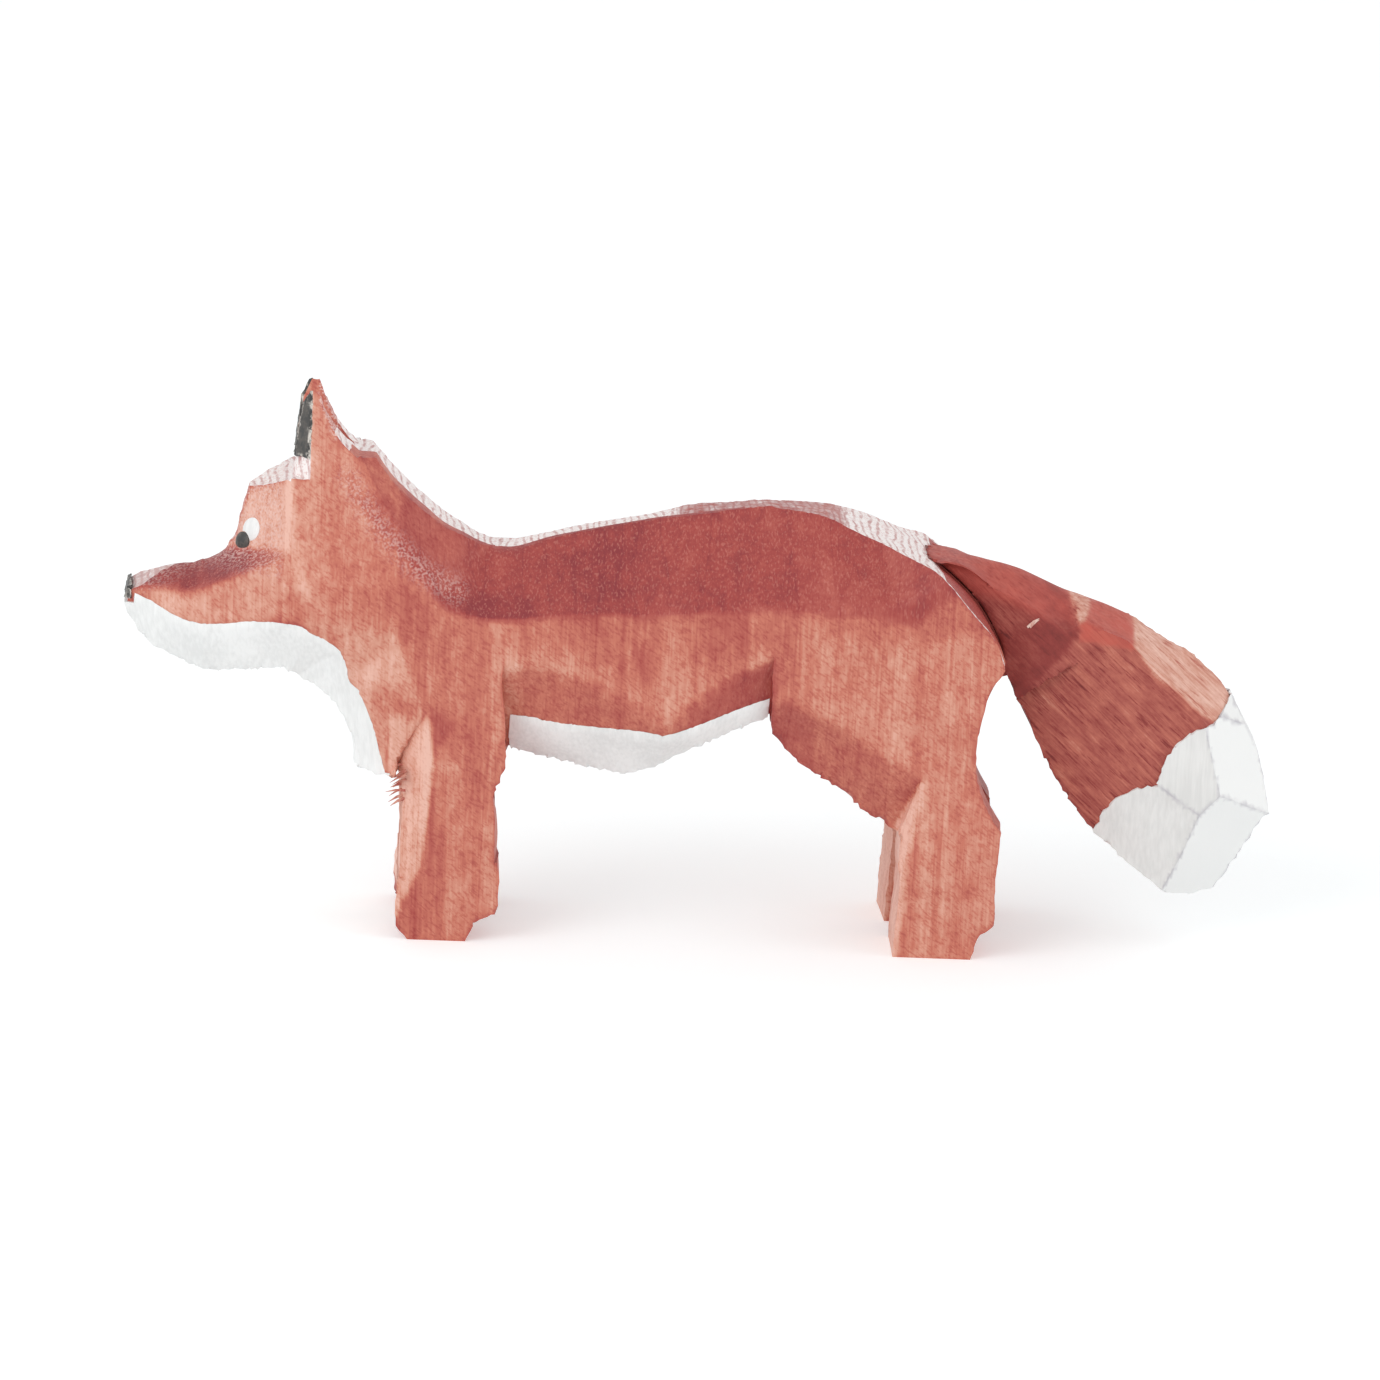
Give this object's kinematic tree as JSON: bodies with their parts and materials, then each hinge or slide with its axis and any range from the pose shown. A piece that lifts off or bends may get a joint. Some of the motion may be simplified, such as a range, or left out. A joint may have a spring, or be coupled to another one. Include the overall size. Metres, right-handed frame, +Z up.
{
  "type": "carved fox figurine",
  "caption": "Standing fox figurine knife-carved from a slice of a turned wooden ring, stained red, with a separate tail glued into the rump and painted markings; a free-standing ornament.",
  "frame": {"origin": "middle of the figure's length and width, on the surface that the feet stand on", "axes": "+X from the nose to the tail, +Y towards the fox's right side, +Z up"},
  "size_m": [0.06, 0.0114, 0.0282],
  "materials": {
    "stained_wood": "red stain on knife-cut softwood, satin",
    "wood_glue": "dried wood glue",
    "white_paint": "brushed matt paint",
    "black_paint": "brushed matt paint"
  },
  "bodies": {
    "root": {"body": "stained_wood", "tail": "stained_wood", "tail_glue": "wood_glue", "throat_white_coat": "white_paint", "belly_white_coat": "white_paint", "tail_tip_white_coat": "white_paint", "nose_black_coat": "black_paint", "left_ear_black_coat": "black_paint", "right_ear_black_coat": "black_paint", "left_eye_white": "white_paint", "right_eye_white": "white_paint", "left_pupil": "black_paint", "right_pupil": "black_paint"}
  },
  "joints": []
}
